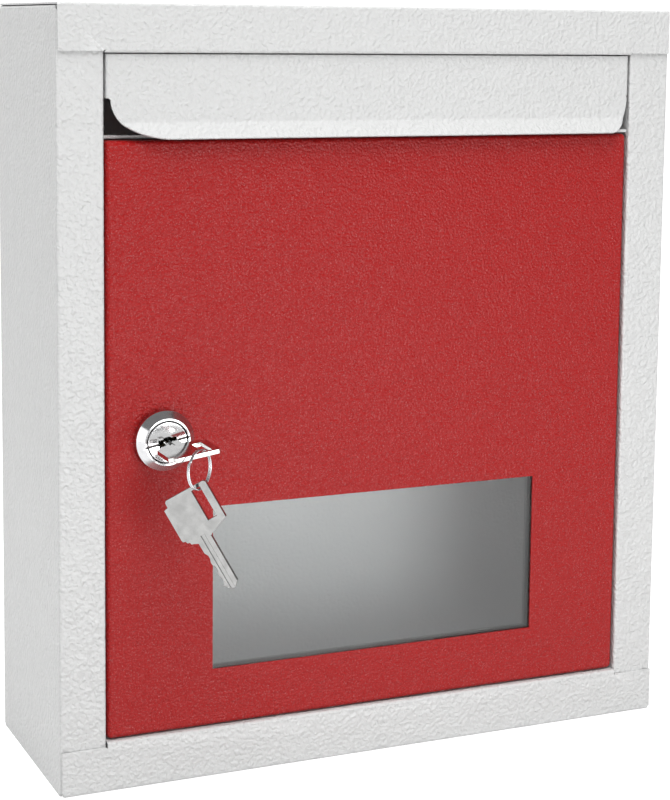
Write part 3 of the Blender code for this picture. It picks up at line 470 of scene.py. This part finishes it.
def split_ring(node):
    """The key ring as two touching turns of wire, which cross over once."""
    top = joint_spot("ring_swing")[0]
    low, along = joint_spot("spare_swing")
    centre, radius = (top + low) / 2, (top - low).length / 2
    up = (top - low).normalized()
    across = along.cross(up)
    sides = [math.tau * i / ring_wire_sides for i in range(ring_wire_sides)]
    rows = []
    for step in range(ring_turns * ring_steps + 1):
        angle = ring_start + math.tau * step / ring_steps
        past_middle = angle - ring_start - math.pi * ring_turns
        shift = max(-1.0, min(1.0, past_middle / ring_cross)) * ring_wire_radius
        outward = math.cos(angle) * along + math.sin(angle) * up
        middle = centre + radius * outward + shift * across
        spokes = [math.cos(a) * outward + math.sin(a) * across for a in sides]
        rows.append([middle + ring_wire_radius * spoke for spoke in spokes])
    count = ring_wire_sides
    last = (len(rows) - 1) * count
    faces = [list(range(count)), list(range(last + count - 1, last - 1, -1))]
    for start in range(0, last, count):
        for i in range(count):
            j = (i + 1) % count
            faces.append((start + i, start + count + i, start + count + j, start + j))
    mesh = bpy.data.meshes.new(node + "_look")
    mesh.from_pydata([spot for row in rows for spot in row], [], faces)
    mesh.shade_smooth()
    stand_in(node, mesh)


edges = {node: edge for edge, nodes in softened for node in nodes}
for node, obj in frame["nodes"].items():
    if node == "key_ring":
        split_ring(node)
    elif node in edges:
        dressed(node, edges[node])
    else:
        finish(obj, node)


# Floor
floor_half_width = 4.0
floor_front = -4.0
sweep_start = 1.3
sweep_radius = 0.9
sweep_top = 2.6
sweep_steps = 12
floor_shares = (0.60, 0.591)
floor_glow = 0.72
floor_roughness = 0.8
floor_level = 0.2
cloud_size = 120 * MM
cloud_span = (0.3, 0.7)
white = (1.0, 1.0, 1.0, 1.0)


def floor_mesh():
    """A floor that sweeps up behind the box."""
    turns = [math.pi / 2 * step / sweep_steps for step in range(sweep_steps + 1)]
    rows = [(floor_front, 0.0)]
    rows += [(sweep_start + sweep_radius * math.sin(a), sweep_radius * (1 - math.cos(a))) for a in turns]
    rows.append((sweep_start + sweep_radius, sweep_top))
    verts = [(x, y, z) for y, z in rows for x in (-floor_half_width, floor_half_width)]
    faces = [(2 * i, 2 * i + 1, 2 * i + 3, 2 * i + 2) for i in range(len(rows) - 1)]
    mesh = bpy.data.meshes.new("floor")
    mesh.from_pydata(verts, [], faces)
    mesh.shade_smooth()
    return mesh


def make_floor():
    """A pale floor, which looks brighter than the light that it throws back on the box."""
    n = Nodes("floor")
    clouds = n.spread(n.noise(cloud_size, rich_detail), 0.0, 1.0, *cloud_span)
    tone = n.mix(clouds, *[shade(white, share) for share in floor_shares])
    path = n.tree.nodes.new("ShaderNodeLightPath")
    glow = n.spread(path.outputs["Is Diffuse Ray"], floor_glow, 0.0)
    n.set(Base_Color=tone, Roughness=floor_roughness, Specular_IOR_Level=floor_level)
    n.set(Emission_Color=white, Emission_Strength=glow)
    mesh = floor_mesh()
    mesh.materials.append(n.material)
    floor = bpy.data.objects.new("floor", mesh)
    bpy.context.scene.collection.objects.link(floor)


# Sky
sky_strength = 0.27
far_strength = 0.96


def make_world():
    """An even sky, which looks nearly white beyond the floor's edges."""
    world = bpy.data.worlds.new("studio")
    world.use_nodes = True
    tree = world.node_tree
    sky = next(node for node in tree.nodes if node.type == "BACKGROUND")
    far = tree.nodes.new("ShaderNodeBackground")
    for light, strength in ((sky, sky_strength), (far, far_strength)):
        light.inputs["Color"].default_value = white
        light.inputs["Strength"].default_value = strength
    split_rays(tree, "Is Camera Ray", sky, far)
    bpy.context.scene.world = world


# Soft lights, each with its place, the point that it faces, width, watts, and whether gloss mirrors it
box_middle = (0.0, 0.0, 0.15)
softboxes = {
    "front": ((0.32, -1.35, 0.28), box_middle, 1.1, 2.7, True),
    "above": ((-0.15, -0.55, 1.15), (0.0, -0.04, 0.2), 0.7, 7.5, False),
    "low": ((0.1, -0.55, 0.05), (0.0, -0.04, 0.02), 0.25, 1.0, True),
    "side": ((-1.4, -0.25, 0.45), box_middle, 0.9, 4.4, True),
    "top": ((-0.2, -0.7, 2.8), (-0.2, -0.4, 0.0), 2.6, 42, False),
    "back": ((0.0, 0.7, 2.3), (0.0, 2.2, 0.6), 1.2, 19, True),
}


def softbox(name, spot, aim, size, watts, mirrored):
    """A square soft light at spot that faces aim. It shows, if at all, only in reflections."""
    data = bpy.data.lights.new(name, "AREA")
    data.shape = "SQUARE"
    data.size = size
    data.energy = watts
    obj = bpy.data.objects.new(name, data)
    obj.location = spot
    obj.rotation_euler = (Vector(aim) - Vector(spot)).to_track_quat("-Z", "Y").to_euler()
    obj.visible_camera = False
    obj.visible_glossy = mirrored
    bpy.context.scene.collection.objects.link(obj)


make_camera()
make_floor()
make_world()
for name, settings in softboxes.items():
    softbox(name, *settings)
bpy.context.scene.view_settings.view_transform = "Standard"
